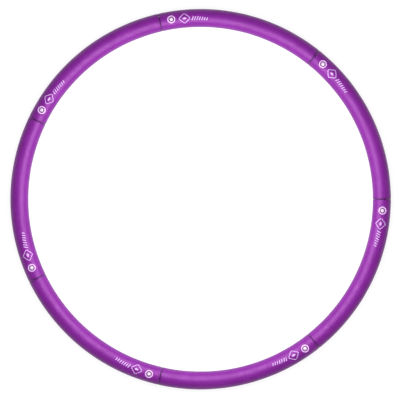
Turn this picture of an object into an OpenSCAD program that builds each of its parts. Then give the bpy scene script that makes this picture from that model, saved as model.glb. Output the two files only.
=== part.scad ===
// Take-apart exercise hoop: seven foam-covered tube sections that plug into a ring.
//
// The hoop lies flat. Z is its axis and the origin is its centre. Section 1 starts at +X and
// the sections run counterclockwise. Each section has a plug at its clockwise end and a
// socket at its counterclockwise end, so the plug of section 2 sits in the socket of
// section 1. A spring in the plug pushes a stud up into the socket's button chamber, which
// locks the joint. Pressing the button pushes the stud back flush and frees the plug.

/* [Hoop] */
// Outside diameter of the hoop
hoop_d = 950; // [850:10:1100]
// Diameter of the foam sleeve
sleeve_d = 45; // [44:0.5:48]
// Number of sections round the hoop
sections = 7; // [5:1:7]
// Gap left at each end of a foam sleeve
sleeve_gap = 0.35; // [0.3:0.05:1]

/* [Core tube] */
// Outside diameter of the core tube
core_d = 30; // [29.5:0.5:31]
// Wall of the core tube
core_wall = 2.5; // [2:0.1:3]

/* [Plug and socket] */
// Outside diameter of the plug's spigot
spigot_d = 21.8; // [21.4:0.1:22]
// Length of the spigot, from the seam to its tip
spigot_len = 42; // [39:1:46]
// Wall of the spigot
spigot_wall = 2.5; // [2:0.1:2.8]
// Length of the plug's collar, along the hoop
collar_len = 8; // [7:1:12]
// Length of the tails that reach into the core tube, along the hoop
tail_len = 24; // [18:1:30]
// Wall of the tails
tail_wall = 2.9; // [2:0.1:3.5]
// Radial clearance between pieces that slide in each other
running_gap = 0.1; // [0.05:0.01:0.1]

/* [Button] */
// Distance from the seam to the middle of the button
button_offset = 28.4; // [26:0.2:30]
// Diameter of the button's head
button_d = 8.4; // [7:0.2:8.6]
// How far the button goes down
button_travel = 2.15; // [1.5:0.05:2.2]
// Height of the button's foot, which is its wide lower part
foot_h = 5; // [4.5:0.1:5]
// Height of the button's head above its foot
head_h = 2.8; // [2.5:0.1:3.2]
// Radius of the head's domed top
dome_r = 8; // [6:0.5:20]

/* [Eyelet] */
// Diameter of the hole through the eyelet
eyelet_hole_d = 14.2; // [13.8:0.1:14.4]
// Wall of the eyelet's barrel
eyelet_wall = 1; // [0.8:0.1:1.2]
// Diameter of the eyelet's flange
eyelet_d = 20.2; // [19:0.2:22]
// Thickness of the flange
flange_t = 0.8; // [0.6:0.1:1]
// How far the flange stands above the foam
flange_proud = 0.3; // [0:0.1:0.4]

/* [Spring] */
// Thickness of the spring's leaf
leaf_t = 0.8; // [0.6:0.1:0.8]
// Width of the leaf
leaf_w = 8; // [7:0.5:8]
// Outside radius of the spring's bend
bend_r = 4.2; // [3.6:0.1:4.4]
// Angle that the upper leg rises at
leg_rise = 14; // [12:0.5:15]
// Diameter of the locking stud on the spring
stud_d = 9.6; // [9:0.1:9.6]

/* [Hidden] */
ring_r = (hoop_d - sleeve_d) / 2;      // the hoop's centreline
pitch = 360 / sections;                // the angle that a section spans
end_gap = 0.1;                         // left at each side of a seam by the hard pieces
slack = 0.1;                           // between hard pieces that are held still
cut = 1;                               // how far a cutter runs past a face

core_r = core_d / 2;
tail_r = core_r - core_wall - slack;
tail_bore_r = tail_r - tail_wall;

spigot_r = spigot_d / 2;
spigot_bore_r = spigot_r - spigot_wall;
socket_r = spigot_r + running_gap;
socket_depth = spigot_len + 2;
head_len = socket_depth + 6;           // the socket's thick end, along the hoop
web = 2;                               // how far a bore runs past the seam into the collar
lead_in = 1.5;                         // chamfer at the spigot's tip

stud_r = stud_d / 2;
stud_hole_r = stud_r + running_gap;
chamber_r = stud_r + 2 * running_gap;
foot_r = chamber_r - running_gap;
head_r = button_d / 2;
foot_z = spigot_r + end_gap / 2 + button_travel;  // underside of the button at rest
chamber_z = foot_z + foot_h + slack;              // ceiling of the button's chamber
boss_z = chamber_z + 1;                           // top of the boss over the chamber
eyelet_hole_r = eyelet_hole_d / 2;
boss_r = eyelet_hole_r - 0.2;
barrel_r = eyelet_hole_r + eyelet_wall;
flange_r = eyelet_d / 2;
flange_top = sleeve_d / 2 + flange_proud;         // as radii about the hoop's centreline
flange_seat = flange_top - flange_t;

pin_r = 2;
pin_top = -tail_bore_r - 0.2;
pin_foot = -core_r + 0.2;

// The angle that a length along the hoop's centreline spans
function arc(len) = len / ring_r * 180 / PI;

plug_pin_at = arc(collar_len + tail_len / 2);     // the pins' angles in section 1
socket_pin_at = pitch - arc(head_len + tail_len / 2);

SECTION_PARTS = ["sleeve", "core_tube", "plug", "socket",
                 "lock_spring", "release_button", "eyelet", "retaining_pins"];
NODES = [for (k = [1 : sections]) for (part = SECTION_PARTS) str(part, "_", k)];
node = "all";

// ---- shapes that the parts share -----------------------------------------------------

// A stretch of the hoop's ring, with a round section of radius r
module ring(from, to, r)
    rotate_extrude(start = from, angle = to - from, $fn = 256)
        translate([ring_r, 0]) circle(r = r, $fn = 96);

// Puts things at a seam: X points out of the hoop, and Y runs along it, counterclockwise
module at_seam(angle) rotate(angle) translate([ring_r, 0, 0]) children();

// A straight round bar through a seam's centre, from one Y to another
module bar(from, to, r_from, r_to)
    translate([0, from, 0]) rotate([-90, 0, 0])
        cylinder(r1 = r_from, r2 = r_to, h = to - from, $fn = 96);

// An upright cylinder on the button's axis
module upright(z_from, z_to, r)
    translate([0, -button_offset, z_from]) cylinder(r = r, h = z_to - z_from, $fn = 96);

// An upright cylinder on a retaining pin's axis, in the hoop's underside. It is the pin, or
// with longer = cut it is the cutter for the pin's holes
module pin(at, longer = 0)
    rotate(at) translate([ring_r, 0, pin_foot - longer])
        cylinder(r = pin_r, h = pin_top - pin_foot + 2 * longer, $fn = 48);

// ---- parts of section 1 --------------------------------------------------------------

// Foam sleeve, glued over the core, with a hole and a shallow seat for the eyelet
module sleeve() {
    first = arc(sleeve_gap);
    last = pitch - arc(sleeve_gap);
    color([0.50, 0.18, 0.60]) difference() {
        ring(first, last, sleeve_d / 2);
        ring(first - 1, last + 1, core_r);
        at_seam(pitch) upright(0, sleeve_d, barrel_r);
        difference() {
            at_seam(pitch) upright(core_r, sleeve_d, flange_r);
            ring(pitch - 10, pitch, flange_seat);
        }
    }
}

// Curved plastic tube between the plug's collar and the socket's head
module core_tube() {
    first = arc(collar_len + slack);
    last = pitch - arc(head_len + slack);
    color([0.80, 0.80, 0.82]) difference() {
        ring(first, last, core_r);
        ring(first - 1, last + 1, core_r - core_wall);
        pin(plug_pin_at, longer = cut);
        pin(socket_pin_at, longer = cut);
    }
}

// Plug: a straight hollow spigot, a collar at the seam and a curved tail in the core tube
module plug() {
    color([0.36, 0.35, 0.39]) difference() {
        union() {
            ring(arc(end_gap), arc(collar_len), core_r);
            ring(arc(collar_len), arc(collar_len + tail_len), tail_r);
            at_seam(0) {
                bar(lead_in - spigot_len, collar_len / 2, spigot_r, spigot_r);
                bar(-spigot_len, lead_in - spigot_len, spigot_r - lead_in / 2, spigot_r);
            }
        }
        at_seam(0) {
            bar(-spigot_len - cut, web, spigot_bore_r, spigot_bore_r);
            upright(spigot_bore_r / 2, spigot_r + cut, stud_hole_r);
        }
        ring(arc(collar_len - web), arc(collar_len + tail_len + cut), tail_bore_r);
        pin(plug_pin_at, longer = cut);
    }
}

// Socket: a head with a straight bore for the next plug, a boss that holds the button, and
// a curved tail in the core tube
module socket() {
    color([0.36, 0.35, 0.39]) difference() {
        union() {
            ring(pitch - arc(head_len), pitch - arc(end_gap), core_r);
            ring(pitch - arc(head_len + tail_len), pitch - arc(head_len), tail_r);
            at_seam(pitch) upright(spigot_r, boss_z, boss_r);
        }
        at_seam(pitch) {
            bar(-socket_depth, cut, socket_r, socket_r);
            bar(-lead_in, 0, socket_r, socket_r + lead_in / 2);
            upright(0, chamber_z, chamber_r);
            upright(0, boss_z + cut, head_r + running_gap);
        }
        ring(pitch - arc(head_len + tail_len + cut), pitch - arc(head_len), tail_bore_r);
        pin(socket_pin_at, longer = cut);
    }
}

// V-shaped leaf spring in the plug's spigot, with the locking stud on its upper leg. Its
// outline is drawn looking along X, with Y to the right and Z up
module lock_spring() {
    floor_z = -sqrt(pow(spigot_bore_r, 2) - pow(leaf_w / 2, 2)) + slack;
    bend_mid = [-2 * bend_r, floor_z + bend_r];
    pad_z = spigot_bore_r - 3.2;                    // top of the pad under the stud
    free_end = -button_offset - stud_r - 1;
    // where a line that rises along the upper leg from a point reaches a height
    function up_leg(from, z) = from + (z - from[1]) * [-1 / tan(leg_rise), 1];
    function bend(r) = [for (step = [0 : 12]) let (a = -90 + step / 12 * (180 - leg_rise))
                        bend_mid + r * [cos(a), sin(a)]];
    outer = bend(bend_r);
    inner = bend(bend_r - leaf_t);
    color([0.72, 0.73, 0.75]) at_seam(0) {
        rotate([90, 0, 90]) translate([0, 0, -leaf_w / 2]) linear_extrude(leaf_w)
            polygon([
                [free_end, floor_z],
                each outer,
                up_leg(outer[12], pad_z),
                [free_end, pad_z],
                [free_end, pad_z - leaf_t],
                up_leg(inner[12], pad_z - leaf_t),
                each [for (step = [12 : -1 : 0]) inner[step]],
                [free_end, floor_z + leaf_t]
            ]);
        upright(pad_z - leaf_t / 2, foot_z - slack, stud_r);
    }
}

// Release button: a wide foot held in the socket's chamber and a domed head
module release_button() {
    top_z = foot_z + foot_h + head_h;
    color([0.97, 0.95, 0.98]) at_seam(pitch) {
        upright(foot_z, foot_z + foot_h, foot_r);
        intersection() {
            upright(foot_z, top_z + cut, head_r);
            translate([0, -button_offset, top_z - dome_r]) sphere(r = dome_r, $fn = 128);
        }
    }
}

// Eyelet: lines the finger hole in the foam, with a flange that follows the sleeve
module eyelet() {
    color([0.95, 0.92, 0.97]) intersection() {
        ring(pitch - 10, pitch, flange_top);
        difference() {
            union() {
                at_seam(pitch) upright(core_r + slack, sleeve_d, barrel_r);
                difference() {
                    at_seam(pitch) upright(core_r + slack, sleeve_d, flange_r);
                    ring(pitch - 11, pitch + 1, flange_seat);
                }
            }
            at_seam(pitch) upright(0, 2 * sleeve_d, eyelet_hole_r);
        }
    }
}

// Pins through the core tube's wall into the plug's tail and the socket's tail
module retaining_pins() {
    color([0.72, 0.73, 0.75]) {
        pin(plug_pin_at);
        pin(socket_pin_at);
    }
}

// ---- the hoop ------------------------------------------------------------------------

function shown(part, k) = node == "all" || node == str(part, "_", k);

for (k = [1 : sections]) rotate((k - 1) * pitch) {
    if (shown("sleeve", k)) sleeve();
    if (shown("core_tube", k)) core_tube();
    if (shown("plug", k)) plug();
    if (shown("socket", k)) socket();
    if (shown("lock_spring", k)) lock_spring();
    if (shown("release_button", k)) release_button();
    if (shown("eyelet", k)) eyelet();
    if (shown("retaining_pins", k)) retaining_pins();
}
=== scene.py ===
"""Looks of the take-apart exercise hoop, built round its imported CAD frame.

Everything is in metres, in the frame's own axes: the hoop lies flat round the origin, Z is its
axis and the buttons face up. Each piece is made in the place of section 1, then turned about Z
to its own section. MM turns the small sizes below into metres.
"""
import math

import bmesh
import bpy
import numpy as np
from mathutils import Matrix, Vector, noise


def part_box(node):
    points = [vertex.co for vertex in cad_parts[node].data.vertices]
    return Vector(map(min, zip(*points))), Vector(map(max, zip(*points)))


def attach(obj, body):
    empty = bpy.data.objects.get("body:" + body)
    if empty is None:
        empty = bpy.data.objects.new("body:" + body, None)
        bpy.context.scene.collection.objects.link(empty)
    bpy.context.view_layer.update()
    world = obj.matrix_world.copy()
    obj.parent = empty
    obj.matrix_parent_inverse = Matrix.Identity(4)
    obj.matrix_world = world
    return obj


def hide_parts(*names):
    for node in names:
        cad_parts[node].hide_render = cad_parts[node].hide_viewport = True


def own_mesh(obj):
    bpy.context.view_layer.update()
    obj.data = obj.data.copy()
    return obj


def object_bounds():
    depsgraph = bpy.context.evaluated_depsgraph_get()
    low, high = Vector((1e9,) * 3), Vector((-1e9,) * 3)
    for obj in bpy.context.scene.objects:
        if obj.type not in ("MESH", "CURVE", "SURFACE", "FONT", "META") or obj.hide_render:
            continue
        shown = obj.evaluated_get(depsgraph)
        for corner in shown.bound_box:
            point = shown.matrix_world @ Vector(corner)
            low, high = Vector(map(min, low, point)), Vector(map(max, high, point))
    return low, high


MM = 0.001

# ---- what the frame says --------------------------------------------------------------

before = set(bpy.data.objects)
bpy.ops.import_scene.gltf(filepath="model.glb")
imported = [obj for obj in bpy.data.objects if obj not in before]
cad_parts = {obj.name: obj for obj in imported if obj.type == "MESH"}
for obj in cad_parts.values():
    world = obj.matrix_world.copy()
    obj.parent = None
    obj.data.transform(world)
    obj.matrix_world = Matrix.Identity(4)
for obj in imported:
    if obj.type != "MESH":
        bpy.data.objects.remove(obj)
cad_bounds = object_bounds()
SECTIONS = sum(name.startswith("sleeve_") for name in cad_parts)
PITCH = 2 * math.pi / SECTIONS


def half_height(node):
    low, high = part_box(node)
    return (high.z - low.z) / 2


def past_last_seam(point):
    """How far past section 1's last seam a point is, going counterclockwise."""
    return (Matrix.Rotation(-PITCH, 3, "Z") @ point).y


SLEEVE_R = half_height("sleeve_1")
CORE_R = half_height("core_tube_1")
RING_R = cad_bounds[1].x - SLEEVE_R                   # the hoop's centreline
SECTION_LEN = RING_R * PITCH                          # one section, along the centreline

button_low, button_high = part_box("release_button_1")
BUTTON_BACK = -past_last_seam((button_low + button_high) / 2)   # from the seam to the button
BUTTON_TOP = button_high.z
FOOT_Z = button_low.z                                 # underside of the button's wide foot
FOOT_R = (button_high.x - button_low.x) / 2

eyelet_low, eyelet_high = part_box("eyelet_1")
FLANGE_R = (eyelet_high.x - eyelet_low.x) / 2
FLANGE_TOP = eyelet_high.z
EYELET_FOOT = eyelet_low.z

spring_low, spring_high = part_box("lock_spring_1")
STUD_TOP = spring_high.z
SPRING_FLOOR = spring_low.z

BOSS_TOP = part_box("socket_1")[1].z                    # the boss that guides the button

# Sizes of the hard pieces, as the CAD has them
PLAY = 0.1 * MM              # between pieces that slide in each other
HEAD_R = 4.2 * MM            # button's head
FOOT_H = 5.0 * MM            # button's wide foot
DOME_R = 8 * MM              # button's domed top
HOLE_R = 7.1 * MM            # hole through the eyelet
BARREL_R = HOLE_R + 1 * MM   # outside of the eyelet's barrel
STUD_R = 4.8 * MM
STUD_HOLE_R = STUD_R + PLAY
CHAMBER_R = STUD_R + 2 * PLAY
SPIGOT_R = 10.9 * MM
SPIGOT_BORE_R = SPIGOT_R - 2.5 * MM
SPIGOT_LEN = 42 * MM
SOCKET_R = SPIGOT_R + PLAY
SOCKET_DEPTH = SPIGOT_LEN + 2 * MM
HEAD_LEN = SOCKET_DEPTH + 6 * MM   # the socket's thick end
COLLAR_LEN = 8 * MM
TAIL_LEN = 24 * MM
TAIL_R = 12.4 * MM
TAIL_BORE_R = TAIL_R - 2.9 * MM
BORE_REACH = 2 * MM          # how far each of the plug's bores runs into its collar
LEAD_IN = 1.5 * MM           # chamfer at the spigot's tip and the socket's mouth
END_GAP = 0.1 * MM           # left at each side of a seam
LEAF_T = 0.8 * MM
LEAF_W = 8.0 * MM
LEAF_BEND_R = 4.2 * MM
LEAF_RISE = math.radians(14)  # slope of the leaf spring's upper leg

# Sizes that only the looks have
SLEEVE_GAP = 0.06 * MM       # from a foam end to the seam: the foam ends press together
LIP_R = 1.2 * MM             # rounding of the foam's cut ends
BEAD_H = 0.85 * MM           # height of the eyelet's rolled rim over the dimpled foam

HARD_POINTS = 96             # points round a hard piece
SLEEVE_POINTS = 168          # points round a sleeve


# ---- mesh tools -----------------------------------------------------------------------

def placed(name, data):
    """A new object in the scene, that holds a mesh, a lamp or a camera."""
    obj = bpy.data.objects.new(name, data)
    bpy.context.scene.collection.objects.link(obj)
    return obj


def piece(name, points, faces):
    """A new smooth-shaded object of those points and faces."""
    mesh = bpy.data.meshes.new(name)
    mesh.from_pydata([tuple(p) for p in points], [], faces)
    mesh.validate()
    mesh.polygons.foreach_set("use_smooth", [True] * len(mesh.polygons))
    return placed(name, mesh)


def loft_faces(count, around, closed=False, capped=False, first=0):
    """The faces of a skin over count rings of around points each, numbered from first."""
    faces = []
    for i in range(count if closed else count - 1):
        here, there = first + i * around, first + (i + 1) % count * around
        for j in range(around):
            k = (j + 1) % around
            faces.append((here + j, here + k, there + k, there + j))
    if capped:
        last = first + (count - 1) * around
        faces.append(tuple(range(first, first + around))[::-1])
        faces.append(tuple(range(last, last + around)))
    return faces


def loft(name, rings):
    """A skin over rings of points, which join up into a closed solid."""
    rings = np.asarray(rings, float)
    return piece(name, rings.reshape(-1, 3), loft_faces(*rings.shape[:2], closed=True))


def rounded(corners, steps=5):
    """A closed outline with its corners rounded. Each corner is (x, y, radius)."""
    outline = []
    for n, (x, y, radius) in enumerate(corners):
        corner = Vector((x, y))
        before = Vector(corners[n - 1][:2]) - corner
        after = Vector(corners[(n + 1) % len(corners)][:2]) - corner
        if radius <= 0:
            outline.append(tuple(corner))
            continue
        half = before.angle(after) / 2
        reach = radius / math.tan(half)
        middle = corner + (before.normalized() + after.normalized()).normalized() \
            * (radius / math.sin(half))
        start = corner + before.normalized() * reach - middle
        end = corner + after.normalized() * reach - middle
        first = math.atan2(start.y, start.x)
        sweep = (math.atan2(end.y, end.x) - first + math.pi) % (2 * math.pi) - math.pi
        for turn in np.linspace(first, first + sweep, steps + 1):
            outline.append((middle.x + radius * math.cos(turn), middle.y + radius * math.sin(turn)))
    return outline


def outward(obj):
    """Turns every face of a closed piece outwards, once points and edges with no use are gone."""
    work = bmesh.new()
    work.from_mesh(obj.data)
    bmesh.ops.remove_doubles(work, verts=work.verts, dist=1e-7)
    loose = [edge for edge in work.edges if not edge.link_faces]
    bmesh.ops.delete(work, geom=loose, context="EDGES")
    bmesh.ops.recalc_face_normals(work, faces=work.faces)
    work.to_mesh(obj.data)
    work.free()
    return obj


def apply_modifiers(obj):
    """Makes the piece's mesh what its modifiers show."""
    bpy.context.view_layer.update()
    shown = obj.evaluated_get(bpy.context.evaluated_depsgraph_get())
    mesh = bpy.data.meshes.new_from_object(shown)
    obj.modifiers.clear()
    obj.data = mesh


def cut_with(obj, cutter, operation="DIFFERENCE"):
    """Cuts or joins one closed piece with another, which is used up."""
    modifier = obj.modifiers.new("cut", "BOOLEAN")
    modifier.operation = operation
    modifier.solver = "EXACT"
    modifier.object = cutter
    apply_modifiers(obj)
    bpy.data.objects.remove(cutter)
    return outward(obj)


def join(name, parts):
    """One piece made of several, which are used up."""
    work = bmesh.new()
    for part in parts:
        work.from_mesh(part.data)
        bpy.data.objects.remove(part)
    mesh = bpy.data.meshes.new(name)
    work.to_mesh(mesh)
    work.free()
    return placed(name, mesh)


def soft_edges(obj, angle=32):
    """Smooth shading, but for edges sharper than the angle."""
    obj.data.polygons.foreach_set("use_smooth", [True] * len(obj.data.polygons))
    obj.data.set_sharp_from_angle(angle=math.radians(angle))


# ---- places along a section -----------------------------------------------------------

def along(s):
    """Where section 1's centreline is at a length s from its first seam, with its outward
    direction. Before the seam it runs straight on, as the plug's spigot does."""
    if s < 0:
        return Vector((RING_R, s, 0)), Vector((1, 0, 0))
    out = Vector((math.cos(s / RING_R), math.sin(s / RING_R), 0))
    return out * RING_R, out


def from_last_seam(s):
    """The same, on the straight line through section 1's last seam, where its socket's bore
    runs: s is below 0 inside the section."""
    turn = Matrix.Rotation(PITCH, 3, "Z")
    return turn @ Vector((RING_R, s, 0)), turn @ Vector((1, 0, 0))


def round_ring(middle, out, radius, around):
    """Points of a circle round a place on the centreline."""
    up = Vector((0, 0, 1))
    return [middle + radius * (math.cos(a) * out + math.sin(a) * up)
            for a in np.linspace(0, 2 * math.pi, around, endpoint=False)]


def dense(outline, step=6 * MM):
    """The closed outline with more points where they are far apart, so that it can bend."""
    filled = []
    for n, (s, radius) in enumerate(outline):
        next_s, next_radius = outline[(n + 1) % len(outline)]
        parts = max(1, math.ceil(abs(next_s - s) / step))
        filled += [(s + (next_s - s) * i / parts, radius + (next_radius - radius) * i / parts)
                   for i in range(parts)]
    return filled


def bent_lathe(name, outline, way=along):
    """A round piece whose axis follows a way. The outline is closed, of (place, radius)."""
    rings = [round_ring(*way(s), radius, HARD_POINTS) for s, radius in dense(outline)]
    return outward(loft(name, rings))


def button_axis():
    """The upright axis of section 1's button, in plan."""
    return from_last_seam(-BUTTON_BACK)[0]


def plug_stud_axis():
    """The upright axis of section 1's own locking stud, in plan."""
    return along(-BUTTON_BACK)[0]


def level_circle(axis, radius):
    """Points of a level circle round an upright axis, in plan."""
    return [(axis.x + radius * math.cos(a), axis.y + radius * math.sin(a))
            for a in np.linspace(0, 2 * math.pi, HARD_POINTS, endpoint=False)]


def upright_lathe(name, outline, axis):
    """A round piece on an upright axis. The outline is closed, of (radius, height)."""
    rings = [[(x, y, z) for x, y in level_circle(axis, radius)] for radius, z in outline]
    return outward(loft(name, rings))


# ---- the foam's skin ------------------------------------------------------------------

# How far the skin stands out or draws in
BULGE = 0.14 * MM            # behind the cut ends
DRAW_IN = 0.22 * MM          # at the cut ends
SLOW_WAVES = 0.20 * MM       # unevenness of the whole skin
FINE_WAVES = 0.06 * MM
PUCKER = 0.13 * MM           # ripples between the last seam and the eyelet
PUCKER_START = 0.05 * MM     # and fainter ones behind the first seam
PUCKER_PITCH = 5.2 * MM
DIMPLE = 0.62 * MM           # round the eyelet
DIMPLE_BANK = 0.14 * MM      # the low bank round the dimple


def fall(distance, reach):
    """1 at no distance, falling smoothly to nothing a few reaches away."""
    return math.exp(-(distance / reach) ** 2)


def skin_radius(k, s, angle):
    """The foam's outside radius about the centreline, in section k, at a length s from the
    section's first seam and at an angle from straight outwards (a quarter turn is up)."""
    from_start = s - SLEEVE_GAP
    from_end = SECTION_LEN - SLEEVE_GAP - s
    to_lip = max(min(from_start, from_end), 0)
    radius = SLEEVE_R

    # the foam bulges a little behind its cut ends, and the ends themselves draw in
    radius += BULGE * fall(to_lip - 8 * MM, 4 * MM) - DRAW_IN * fall(to_lip, 3.4 * MM)
    if to_lip < LIP_R:
        radius -= LIP_R - math.sqrt(LIP_R ** 2 - (LIP_R - to_lip) ** 2)

    # unevenness: each section reads its own part of the noise
    spot = Vector((s * 14, math.cos(angle) * 1.3 + 9 * k, math.sin(angle) * 1.3))
    radius += SLOW_WAVES * noise.noise(spot) + FINE_WAVES * noise.noise(spot * 3.1)

    # shallow puckers, which wander a little; near the eyelet only the upper side has them
    upper = max(math.sin(angle), 0)
    wobble = noise.noise(Vector((s * 60, angle * 2.2, 5.0 * k)))
    wave = math.sin(to_lip / PUCKER_PITCH * 2 * math.pi + 2.5 * wobble + k)
    radius += PUCKER * wave * upper * fall(from_end - 11 * MM, 9 * MM)
    radius += PUCKER_START * wave * fall(from_start - 8 * MM, 7 * MM)

    # the dimple round the eyelet
    across = (math.pi / 2 - angle) * SLEEVE_R
    past_rim = math.hypot(SECTION_LEN - s - BUTTON_BACK, across) - FLANGE_R
    radius -= DIMPLE * fall(max(past_rim + 1 * MM, 0), 2.4 * MM)
    radius += DIMPLE_BANK * fall(past_rim - 5.5 * MM, 2.6 * MM)
    return radius


def skin_point(k, s, angle, lift=0.0):
    """A point on, or a little above, the foam's skin in section k, drawn in section 1."""
    middle, out = along(s)
    radius = skin_radius(k, s, angle) + lift
    spot = middle + radius * (math.cos(angle) * out + math.sin(angle) * Vector((0, 0, 1)))
    spot.z = max(spot.z, -SLEEVE_R)               # the foam flattens where it lies on the floor
    return spot


def sleeve_stations():
    """Where the sleeve's rings of points are: close together at its ends and its eyelet."""
    first, last = SLEEVE_GAP, SECTION_LEN - SLEEVE_GAP
    lip = [LIP_R * (1 - math.cos(i / 7 * math.pi / 2)) for i in range(8)]
    start_end = np.arange(LIP_R + 0.8 * MM, 24 * MM, 0.9 * MM)
    near_eyelet = np.arange(LIP_R + 0.8 * MM, 50 * MM, 0.75 * MM)
    middle = np.linspace(first + 26 * MM, last - 52 * MM, 120)
    return sorted([first + x for x in (*lip, *start_end)] + list(middle)
                  + [last - x for x in (*lip, *near_eyelet)])


def make_sleeve(k):
    """The foam sleeve: outer skin, cut ends and bore, with the eyelet's hole through it."""
    angles = np.linspace(0, 2 * math.pi, SLEEVE_POINTS, endpoint=False)
    stations = sleeve_stations()
    rings = [[skin_point(k, s, a) for a in angles] for s in stations]
    bore_r = CORE_R + 0.03 * MM
    rings += [round_ring(*along(s), bore_r, SLEEVE_POINTS)
              for s in np.linspace(stations[-1], stations[0], 60)]
    obj = outward(loft(f"foam_sleeve_{k}", rings))
    hole_r = BARREL_R + 0.05 * MM
    below, above = CORE_R / 2, SLEEVE_R * 1.3
    cut_with(obj, upright_lathe("cutter", [(0, below), (hole_r, below), (hole_r, above),
                                           (0, above)], button_axis()))
    soft_edges(obj, 40)
    note_painted_shade(obj)
    return obj


def note_painted_shade(sleeve):
    """Notes on a sleeve's points how much painted shade they take: in the groove at the cut ends,
    reaching further at the section's start as a soft painted shadow, and round the eyelet's rim."""
    axis = button_axis()
    painted_shade = sleeve.data.attributes.new("painted_shade", "FLOAT", "POINT")
    for n, vertex in enumerate(sleeve.data.vertices):
        x, y, z = vertex.co
        s = math.atan2(y, x) * RING_R
        to_end = min(s, SECTION_LEN - s)
        end_reach = 3.4 * MM if s < SECTION_LEN / 2 else 2.2 * MM
        # painted shade in the groove at each cut end, reaching further at the section's start as a
        # soft painted shadow
        shade_amount = fall(to_end, end_reach)
        past_rim = math.hypot(x - axis.x, y - axis.y) - FLANGE_R if z > 0 else 1
        # painted shade round the eyelet's rim, where the foam dips into its dimple
        shade_amount += 0.6 * fall(max(past_rim, 0), 1.1 * MM)
        painted_shade.data[n].value = shade_amount


# ---- the hard pieces ------------------------------------------------------------------

def make_eyelet():
    """A barrel through the foam, with a rolled rim that follows the sleeve's crown."""
    axis = button_axis()

    def rim_height(x, y):
        return math.sqrt(FLANGE_TOP ** 2 - (math.hypot(x, y) - RING_R) ** 2)

    # (radius, below the rim's crown), and below None stands for the barrel's flat foot
    section = [(HOLE_R, None), (HOLE_R, BEAD_H + 0.3 * MM)]
    steps = 18
    for i in range(steps + 1):
        across = 2 * i / steps - 1                    # from -1 at the hole to 1 at the rim
        section.append(((HOLE_R + FLANGE_R) / 2 + across * (FLANGE_R - HOLE_R) / 2,
                        BEAD_H * (1 - math.sqrt(max(1 - abs(across) ** 2.4, 0)))))
    under_rim = BEAD_H + 0.25 * MM
    section += [(FLANGE_R - 0.15 * MM, under_rim), (BARREL_R, under_rim), (BARREL_R, None)]
    rings = [[(x, y, EYELET_FOOT if below is None else rim_height(x, y) - below)
              for x, y in level_circle(axis, radius)]
             for radius, below in section]
    obj = outward(loft("eyelet_ring", rings))
    soft_edges(obj)
    return obj


def make_button():
    """The release button: wide foot, narrower head and a domed top."""
    foot_top = FOOT_Z + FOOT_H
    corners = [(0, FOOT_Z, 0), (FOOT_R, FOOT_Z, 0.3 * MM), (FOOT_R, foot_top, 0.25 * MM),
               (HEAD_R, foot_top, 0)]
    for n, r in enumerate(np.linspace(HEAD_R, 0, 7)):
        drop = DOME_R - math.sqrt(DOME_R ** 2 - r ** 2)
        corners.append((r, BUTTON_TOP - drop, 0 if n else 0.45 * MM))
    obj = upright_lathe("push_button", rounded(corners), button_axis())
    soft_edges(obj)
    return obj


def make_socket():
    """The socket: thick head with a straight bore, the button's boss and chamber, and a tail."""
    end = SECTION_LEN - END_GAP
    shoulder, tail = SECTION_LEN - HEAD_LEN, SECTION_LEN - HEAD_LEN - TAIL_LEN
    obj = bent_lathe("socket_end", rounded([
        (tail, TAIL_BORE_R, 0.3 * MM), (tail, TAIL_R, 0.5 * MM), (shoulder, TAIL_R, 0),
        (shoulder, CORE_R, 0.4 * MM), (end, CORE_R, 0.8 * MM), (end, 0, 0), (shoulder, 0, 0),
        (shoulder, TAIL_BORE_R, 0)]))
    boss_r = HOLE_R - 0.2 * MM
    cut_with(obj, upright_lathe("boss", rounded([
        (0, SPIGOT_R, 0), (boss_r, SPIGOT_R, 0), (boss_r, BOSS_TOP, 0.5 * MM),
        (0, BOSS_TOP, 0)]), button_axis()), "UNION")
    mouth_r = SOCKET_R + LEAD_IN / 2
    past_seam = 1 * MM
    cut_with(obj, bent_lathe("bore", rounded([
        (-SOCKET_DEPTH, 0, 0), (-SOCKET_DEPTH, SOCKET_R, 0.8 * MM), (-LEAD_IN, SOCKET_R, 0),
        (0, mouth_r, 0), (past_seam, mouth_r, 0), (past_seam, 0, 0)]), way=from_last_seam))
    chamber_top = FOOT_Z + FOOT_H + PLAY
    guide_r = HEAD_R + PLAY
    past_boss = BOSS_TOP + 0.1 * MM
    cut_with(obj, upright_lathe("chamber", rounded([
        (0, 0, 0), (CHAMBER_R, 0, 0), (CHAMBER_R, chamber_top, 0), (guide_r, chamber_top, 0),
        (guide_r, BOSS_TOP - 0.3 * MM, 0), (guide_r + 0.4 * MM, past_boss, 0),
        (0, past_boss, 0)]), button_axis()))
    soft_edges(obj)
    return obj


def make_plug():
    """The plug: hollow straight spigot with the stud's hole, collar at the seam, and tail."""
    tail = COLLAR_LEN + TAIL_LEN
    obj = bent_lathe("plug_end", rounded([
        (-SPIGOT_LEN, SPIGOT_BORE_R, 0.3 * MM),
        (-SPIGOT_LEN, SPIGOT_R - LEAD_IN / 2, 0.4 * MM),
        (LEAD_IN - SPIGOT_LEN, SPIGOT_R, 0.8 * MM), (END_GAP, SPIGOT_R, 0),
        (END_GAP, CORE_R, 0.7 * MM), (COLLAR_LEN, CORE_R, 0.3 * MM), (COLLAR_LEN, TAIL_R, 0),
        (tail, TAIL_R, 0.5 * MM), (tail, TAIL_BORE_R, 0.3 * MM),
        (COLLAR_LEN - BORE_REACH, TAIL_BORE_R, 0), (COLLAR_LEN - BORE_REACH, 0, 0),
        (BORE_REACH, 0, 0), (BORE_REACH, SPIGOT_BORE_R, 0)]))
    cut_with(obj, upright_lathe("stud_hole", [
        (0, SPIGOT_BORE_R / 2), (STUD_HOLE_R, SPIGOT_BORE_R / 2),
        (STUD_HOLE_R, 2 * SPIGOT_R), (0, 2 * SPIGOT_R)], plug_stud_axis()))
    soft_edges(obj)
    return obj


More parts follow.
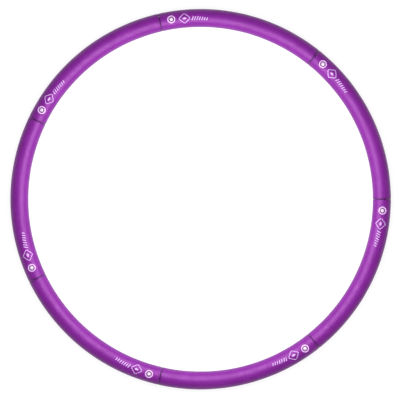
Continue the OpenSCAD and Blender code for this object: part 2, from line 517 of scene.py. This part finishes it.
def make_spring():
    """The V-shaped leaf spring in the spigot, with the locking stud on its upper leg."""
    pad_z = SPIGOT_BORE_R - 3.2 * MM                  # top of the level pad under the stud
    free_end = -BUTTON_BACK - STUD_R - 1 * MM
    bend_mid = Vector((-2 * LEAF_BEND_R, SPRING_FLOOR + LEAF_BEND_R))

    def bend(r):
        angles = np.linspace(-math.pi / 2, math.pi / 2 - LEAF_RISE, 13)
        return [bend_mid + r * Vector((math.cos(a), math.sin(a))) for a in angles]

    def up_leg(start, height):
        return start + (height - start.y) * Vector((-1 / math.tan(LEAF_RISE), 1))

    # the outline is of (along the spigot, height)
    outer, inner = bend(LEAF_BEND_R), bend(LEAF_BEND_R - LEAF_T)
    outline = [(free_end, SPRING_FLOOR), *outer, up_leg(outer[-1], pad_z), (free_end, pad_z),
               (free_end, pad_z - LEAF_T), up_leg(inner[-1], pad_z - LEAF_T), *inner[::-1],
               (free_end, SPRING_FLOOR + LEAF_T)]
    half, strip = LEAF_W / 2, 0.12 * MM
    across = (-half, -half + strip, half - strip, half)   # a thin strip along each long edge
    leaf = [(RING_R + x, y, z) for x in across for y, z in outline]
    faces = loft_faces(len(across), len(outline), capped=True)
    stud = rounded([(0, pad_z - LEAF_T / 2, 0), (STUD_R, pad_z - LEAF_T / 2, 0),
                    (STUD_R, STUD_TOP, 0.9 * MM), (0, STUD_TOP, 0)])
    obj = join("stud_spring", [outward(piece("leaf", leaf, faces)),
                               upright_lathe("stud", stud, plug_stud_axis())])
    soft_edges(obj)
    return obj


# ---- the print ------------------------------------------------------------------------

INK_H = 0.05 * MM            # the print's thickness above the foam
INK_ROOT = -0.1 * MM         # its edges go this far into the foam

# Across a printed line: (share of its half width, height over the foam)
PRINT_PROFILE = [(-1, INK_ROOT)] + [(i / 4, INK_H) for i in range(-4, 5)] + [(1, INK_ROOT)]

MARK_BACK = 61.3 * MM        # from the last seam to the lozenge's middle
MARK_ACROSS = -0.8 * MM      # a touch inwards of the sleeve's crown
LOZENGE_LONG = 14.6 * MM     # half of it, along the section
LOZENGE_WIDE = 13.4 * MM     # half of it, across
LOZENGE_CORNER = 3 * MM
LOZENGE_LINE = 1.6 * MM
LEAF_MARK = (5 * MM, 5.6 * MM)   # half length and width of the leaf shape in the lozenge
BARS = 7
BAR_LINE = 2.2 * MM
BAR_SLANT = 0.4


def stroke(k, path, widths, closed=False):
    """Rings of points of a printed line on section k's skin. The path is of (back from the
    last seam, outwards from the sleeve's crown), and each point has its own width."""
    rings = []
    count = len(path)
    for n, (back, across) in enumerate(path):
        before = path[n - 1] if closed or n else path[n]
        after = path[(n + 1) % count] if closed or n < count - 1 else path[n]
        along_line = (Vector(after) - Vector(before)).normalized()
        side = Vector((-along_line.y, along_line.x)) * widths[n] / 2
        ring = []
        for share, lift in PRINT_PROFILE:
            spot = Vector((back, across)) + side * share
            ring.append(skin_point(k, SECTION_LEN - spot.x, math.pi / 2 - spot.y / SLEEVE_R, lift))
        rings.append(ring)
    return rings


def evenly(path, step=1.0 * MM, closed=False):
    """The path with a point every step, so that it can follow the skin."""
    dots = []
    count = len(path)
    for n in range(count if closed else count - 1):
        here, there = Vector(path[n]), Vector(path[(n + 1) % count])
        parts = max(1, round((there - here).length / step))
        dots += [tuple(here.lerp(there, i / parts)) for i in range(parts)]
    return dots if closed else dots + [tuple(path[-1])]


def make_print(k):
    """A plain lozenge with a row of slanted bars behind it, in pale ink."""
    points, faces = [], []

    def add(path, width, closed=False, taper=False):
        dots = evenly(path, closed=closed)
        ends = [1.0] * len(dots)
        if taper:
            ends = [0.25 + 0.75 * math.sin(math.pi * i / (len(dots) - 1)) for i in range(len(dots))]
        rings = stroke(k, dots, [width * e for e in ends], closed)
        faces.extend(loft_faces(len(rings), len(PRINT_PROFILE), closed=closed,
                                capped=not closed, first=len(points)))
        points.extend(p for ring in rings for p in ring)

    add(rounded([(MARK_BACK - LOZENGE_LONG, MARK_ACROSS, LOZENGE_CORNER),
                 (MARK_BACK, MARK_ACROSS - LOZENGE_WIDE, LOZENGE_CORNER),
                 (MARK_BACK + LOZENGE_LONG, MARK_ACROSS, LOZENGE_CORNER),
                 (MARK_BACK, MARK_ACROSS + LOZENGE_WIDE, LOZENGE_CORNER)]),
        LOZENGE_LINE, closed=True)
    half, width = LEAF_MARK
    add([(MARK_BACK - half, MARK_ACROSS), (MARK_BACK + half, MARK_ACROSS)], width, taper=True)

    # each bar is a little shorter and further inwards than the one before
    for n in range(BARS):
        back, across = MARK_BACK + (20.5 + 6 * n) * MM, -(1.5 + 0.35 * n) * MM
        half = (4.9 - 0.2 * n) * MM
        lean = half * BAR_SLANT
        add([(back - lean, across - half), (back + lean, across + half)], BAR_LINE)
    return outward(piece(f"print_{k}", points, faces))


# ---- materials ------------------------------------------------------------------------

class Shader:
    """A material with a Principled surface, and short ways to add the nodes it needs."""

    def __init__(self, name, roughness, **sockets):
        self.material = bpy.data.materials.new(name)
        self.material.use_nodes = True
        self.tree = self.material.node_tree
        self.surface = self.tree.nodes["Principled BSDF"]
        self.surface.inputs["Roughness"].default_value = roughness
        for socket, value in sockets.items():
            self.surface.inputs[socket.replace("_", " ")].default_value = value
        self.place = self.add("ShaderNodeTexCoord").outputs["Object"]

    def add(self, kind, **settings):
        node = self.tree.nodes.new(kind)
        for name, value in settings.items():
            setattr(node, name, value)
        return node

    def link(self, source, target):
        self.tree.links.new(source, target)

    def attribute(self, name):
        return self.add("ShaderNodeAttribute", attribute_name=name).outputs["Fac"]

    def noise(self, size, detail=3.0, rough=0.55):
        """Noise whose features are about size metres across."""
        node = self.add("ShaderNodeTexNoise")
        node.inputs["Scale"].default_value = 1 / size
        node.inputs["Detail"].default_value = detail
        node.inputs["Roughness"].default_value = rough
        self.link(self.place, node.inputs["Vector"])
        return node.outputs["Fac"]

    def cells(self, size):
        """Voronoi cells about size metres across."""
        node = self.add("ShaderNodeTexVoronoi")
        node.inputs["Scale"].default_value = 1 / size
        self.link(self.place, node.inputs["Vector"])
        return node.outputs["Distance"]

    def stretch(self, value, low, high, to_low=0.0, to_high=1.0):
        """The value's range from low to high, stretched to another."""
        node = self.add("ShaderNodeMapRange")
        for socket, number in zip(("From Min", "From Max", "To Min", "To Max"),
                                  (low, high, to_low, to_high)):
            node.inputs[socket].default_value = number
        self.link(value, node.inputs["Value"])
        return node.outputs["Result"]

    def mix(self, factor, first, second):
        """A colour between two, each a colour or another node's output."""
        node = self.add("ShaderNodeMix", data_type="RGBA")
        self.link(factor, node.inputs["Factor"])
        colour_a, colour_b, colour_result = node.inputs[6], node.inputs[7], node.outputs[2]
        for socket, colour in ((colour_a, first), (colour_b, second)):
            if isinstance(colour, tuple):
                socket.default_value = (*colour, 1)
            else:
                self.link(colour, socket)
        return colour_result

    def colour(self, value):
        self.link(value, self.surface.inputs["Base Color"])

    def rough(self, value):
        self.link(value, self.surface.inputs["Roughness"])

    def bumps(self, *layers):
        """Stacked bumps. Each layer is (height output, height in metres)."""
        normal = None
        for height, depth in layers:
            node = self.add("ShaderNodeBump")
            node.inputs["Distance"].default_value = depth
            self.link(height, node.inputs["Height"])
            if normal is not None:
                self.link(normal, node.inputs["Normal"])
            normal = node.outputs["Normal"]
        self.link(normal, self.surface.inputs["Normal"])


PEBBLE = 0.9 * MM            # size of the foam skin's finest cells
FOAM_DEEP, FOAM_PURPLE = (0.163, 0.007, 0.227), (0.187, 0.011, 0.258)
# the darkest foam colour below is painted shade for the seams' grooves and the eyelet's rim
FOAM_RUBBED, FOAM_PAINTED_SHADE = (0.210, 0.022, 0.284), (0.032, 0.002, 0.052)
# the first cell colour is painted shade for the cells' pits
CELL_PIT_SHADE, CELL_WALL = (0.10, 0.014, 0.14), (0.26, 0.05, 0.34)
INK_THIN, INK_FULL = (0.52, 0.29, 0.66), (0.69, 0.46, 0.82)
STEEL_DARK, STEEL_LIGHT = (0.50, 0.50, 0.52), (0.66, 0.66, 0.68)


def foam_skin():
    """Satin purple skin of closed-cell foam: fine pebble, faint mottling and rubbed patches,
    with painted shade darkening it in the seams' grooves and round the eyelet's rim."""
    m = Shader("foam_skin", 0.46, Specular_IOR_Level=0.60, Specular_Tint=(1.0, 0.50, 1.0, 1))
    mottled = m.mix(m.stretch(m.noise(30 * MM, 4), 0.35, 0.65), FOAM_DEEP, FOAM_PURPLE)
    rubbed = m.stretch(m.noise(6 * MM, 6, 0.7), 0.60, 0.78)
    clean = m.mix(rubbed, mottled, FOAM_RUBBED)
    # painted shade: the colour darkens in the seams' grooves and round the eyelet's rim
    shade_amount = m.stretch(m.attribute("painted_shade"), 0.05, 1.0, 0, 0.72)
    m.colour(m.mix(shade_amount, clean, FOAM_PAINTED_SHADE))
    m.rough(m.stretch(m.noise(12 * MM, 5), 0.3, 0.7, 0.38, 0.52))
    m.bumps((m.noise(4.5 * MM, 2), 0.16 * MM), (m.cells(PEBBLE), 0.06 * MM),
            (m.noise(0.4 * MM, 2), 0.03 * MM))
    return m.material


def foam_cut():
    """The foam's cut ends: open cells, a little darker and matt, with painted shade in the cells'
    pits.
    """
    m = Shader("foam_cut", 0.85, Specular_IOR_Level=0.2)
    # painted shade: the cells' pits, low in the bump below, take the darker colour
    m.colour(m.mix(m.stretch(m.cells(1.1 * MM), 0.1, 0.6), CELL_PIT_SHADE, CELL_WALL))
    m.bumps((m.cells(1.1 * MM), 0.35 * MM), (m.noise(0.5 * MM), 0.1 * MM))
    return m.material


def moulded(name, dark, light, roughness):
    """Moulded plastic: slight colour drift, uneven gloss and a spark-eroded grain."""
    m = Shader(name, roughness)
    m.colour(m.mix(m.stretch(m.noise(9 * MM, 4), 0.35, 0.65), dark, light))
    m.rough(m.stretch(m.noise(4 * MM, 5), 0.3, 0.7, roughness - 0.06, roughness + 0.08))
    m.bumps((m.noise(3 * MM, 2), 0.03 * MM), (m.noise(0.6 * MM, 2), 0.015 * MM))
    return m.material


def spring_steel():
    """Bright steel strip with rolling marks."""
    m = Shader("spring_steel", 0.3, Metallic=1.0)
    m.colour(m.mix(m.stretch(m.noise(3 * MM, 5), 0.3, 0.7), STEEL_DARK, STEEL_LIGHT))
    m.rough(m.stretch(m.noise(0.8 * MM, 6, 0.7), 0.3, 0.7, 0.24, 0.42))
    m.bumps((m.noise(0.5 * MM, 4), 0.01 * MM))
    return m.material


def ink():
    """Pale lilac print, with the foam's pebble showing through."""
    m = Shader("ink", 0.5, Specular_IOR_Level=0.3)
    m.colour(m.mix(m.stretch(m.noise(1.1 * MM, 4, 0.7), 0.34, 0.56), INK_THIN, INK_FULL))
    m.bumps((m.cells(PEBBLE), 0.05 * MM))
    return m.material


SKIN, CUT, INK, STEEL = foam_skin(), foam_cut(), ink(), spring_steel()
# white plastic whose lilac tint is the foam's purple bounce light, painted into its colour
EYELET_WHITE_AND_BOUNCE = moulded("eyelet_white_painted_bounce", (0.75, 0.41, 0.84), (0.80, 0.49, 0.87), 0.30)
BUTTON_WHITE = moulded("button_white", (0.72, 0.55, 0.77), (0.80, 0.64, 0.84), 0.22)
GREY = moulded("grey_plastic", (0.135, 0.058, 0.160), (0.175, 0.080, 0.205), 0.40)
TUBE = moulded("tube_plastic", (0.58, 0.58, 0.60), (0.66, 0.66, 0.68), 0.45)


def dress(obj, *materials):
    """Gives a piece its materials in place of what it has."""
    obj.data.materials.clear()
    for material in materials:
        obj.data.materials.append(material)


def mark_cut_ends(obj):
    """The sleeve's flat end faces take its second material."""
    flat = SLEEVE_GAP + 0.05 * MM                     # the flat faces are no further from the seam
    for polygon in obj.data.polygons:
        s = math.atan2(polygon.center.y, polygon.center.x) * RING_R
        polygon.material_index = 1 if min(s, SECTION_LEN - s) < flat else 0


# ---- the hoop -------------------------------------------------------------------------

def seat(obj, k, body, node):
    """Turns a piece made for section 1 to section k and hands it to the frame."""
    obj.data.transform(Matrix.Rotation((k - 1) * PITCH, 4, "Z"))
    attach(obj, body)
    if node:
        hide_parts(node)


def copy_of(model, name):
    """A copy of a piece, with a mesh of its own."""
    return placed(name, model.data.copy())


MODELS = (  # (model, material, name, node it stands for, slot)
    (make_eyelet(), EYELET_WHITE_AND_BOUNCE, "eyelet_ring", "eyelet", "eyelet_plastic"),
    (make_socket(), GREY, "socket_end", "socket", "hard_plastic"),
    (make_plug(), GREY, "plug_end", "plug", "hard_plastic"),
)
BUTTON = make_button()
SPRING = make_spring()

for k in range(1, SECTIONS + 1):
    section = f"section_{k}"
    sleeve = make_sleeve(k)
    dress(sleeve, SKIN, CUT)
    mark_cut_ends(sleeve)
    seat(sleeve, k, section, f"sleeve_{k}")

    for model, material, name, node, slot_name in MODELS:
        obj = copy_of(model, f"{name}_{k}")
        dress(obj, material)
        seat(obj, k, section, f"{node}_{k}")

    button = copy_of(BUTTON, f"push_button_{k}")
    dress(button, BUTTON_WHITE)
    seat(button, k, f"button_{k}", f"release_button_{k}")

    # the spring sits under the button of the section before, and gets a mesh of its own
    spring = copy_of(SPRING, f"stud_spring_{k}")
    dress(spring, STEEL)
    seat(spring, k, section, f"lock_spring_{k}")
    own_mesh(spring)

    ink_lines = make_print(k)
    dress(ink_lines, INK)
    seat(ink_lines, k, section, None)

    dress(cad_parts[f"core_tube_{k}"], TUBE)
    dress(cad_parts[f"retaining_pins_{k}"], STEEL)

for model in [m[0] for m in MODELS] + [BUTTON, SPRING]:
    bpy.data.objects.remove(model)


# ---- stage, light and camera ----------------------------------------------------------

FLOOR_HALF = 9
SKY_LOW = 1.0                # strength of the surroundings near the horizon
SKY_HIGH = 0.34              # and higher up
CAMERA_HEIGHT = 5.55         # far off, so that the view is nearly square-on
PICTURE_OVER_HOOP = 1.0512   # the picture's width over the hoop's
CAMERA_PLACE = (-1.5 * MM, -1.9 * MM, CAMERA_HEIGHT)   # the hoop sits a touch high and right


def make_floor():
    """Pale paper that glows a little, so that it stays even up to the hoop."""
    corners = [(x * FLOOR_HALF, y * FLOOR_HALF, 0) for x, y in ((-1, -1), (1, -1), (1, 1), (-1, 1))]
    floor = piece("floor", corners, [(0, 1, 2, 3)])
    floor.location.z = cad_bounds[0].z
    paper = Shader("paper", 0.9, Specular_IOR_Level=0.1, Emission_Color=(1, 1, 1, 1),
                   Emission_Strength=0.90)
    paper.colour(paper.mix(paper.noise(0.4), (0.17, 0.17, 0.17), (0.19, 0.19, 0.19)))
    dress(floor, paper.material)


def sky():
    """Even soft light from all round, paler low down so that the floor's edge doesn't show."""
    world = bpy.data.worlds.new("studio")
    world.use_nodes = True
    nodes, links = world.node_tree.nodes, world.node_tree.links
    split = nodes.new("ShaderNodeSeparateXYZ")
    band = nodes.new("ShaderNodeMapRange")
    for socket, value in (("From Min", 0.04), ("From Max", 0.08), ("To Min", SKY_LOW),
                          ("To Max", SKY_HIGH)):
        band.inputs[socket].default_value = value
    links.new(nodes.new("ShaderNodeTexCoord").outputs["Generated"], split.inputs["Vector"])
    links.new(split.outputs["Z"], band.inputs["Value"])
    links.new(band.outputs["Result"], nodes["Background"].inputs["Strength"])
    nodes["Background"].inputs["Color"].default_value = (1, 1, 1, 1)
    return world


def softbox(name, size, height, watts):
    """A round soft lamp over the middle of the hoop."""
    data = bpy.data.lights.new(name, "AREA")
    data.shape = "DISK"
    data.size = size
    data.energy = watts
    placed(name, data).location = (0, 0, height)


def make_camera():
    """A far camera that looks straight down on the hoop."""
    data = bpy.data.cameras.new("camera")
    picture_width = 2 * (RING_R + SLEEVE_R) * PICTURE_OVER_HOOP
    data.lens = data.sensor_width * CAMERA_HEIGHT / picture_width
    data.clip_end = 60
    camera = placed("camera", data)
    camera.location = CAMERA_PLACE
    bpy.context.scene.camera = camera


make_floor()
softbox("key", size=0.80, height=0.55, watts=8.6)
bpy.context.scene.world = sky()
bpy.context.scene.view_settings.view_transform = "Standard"
make_camera()
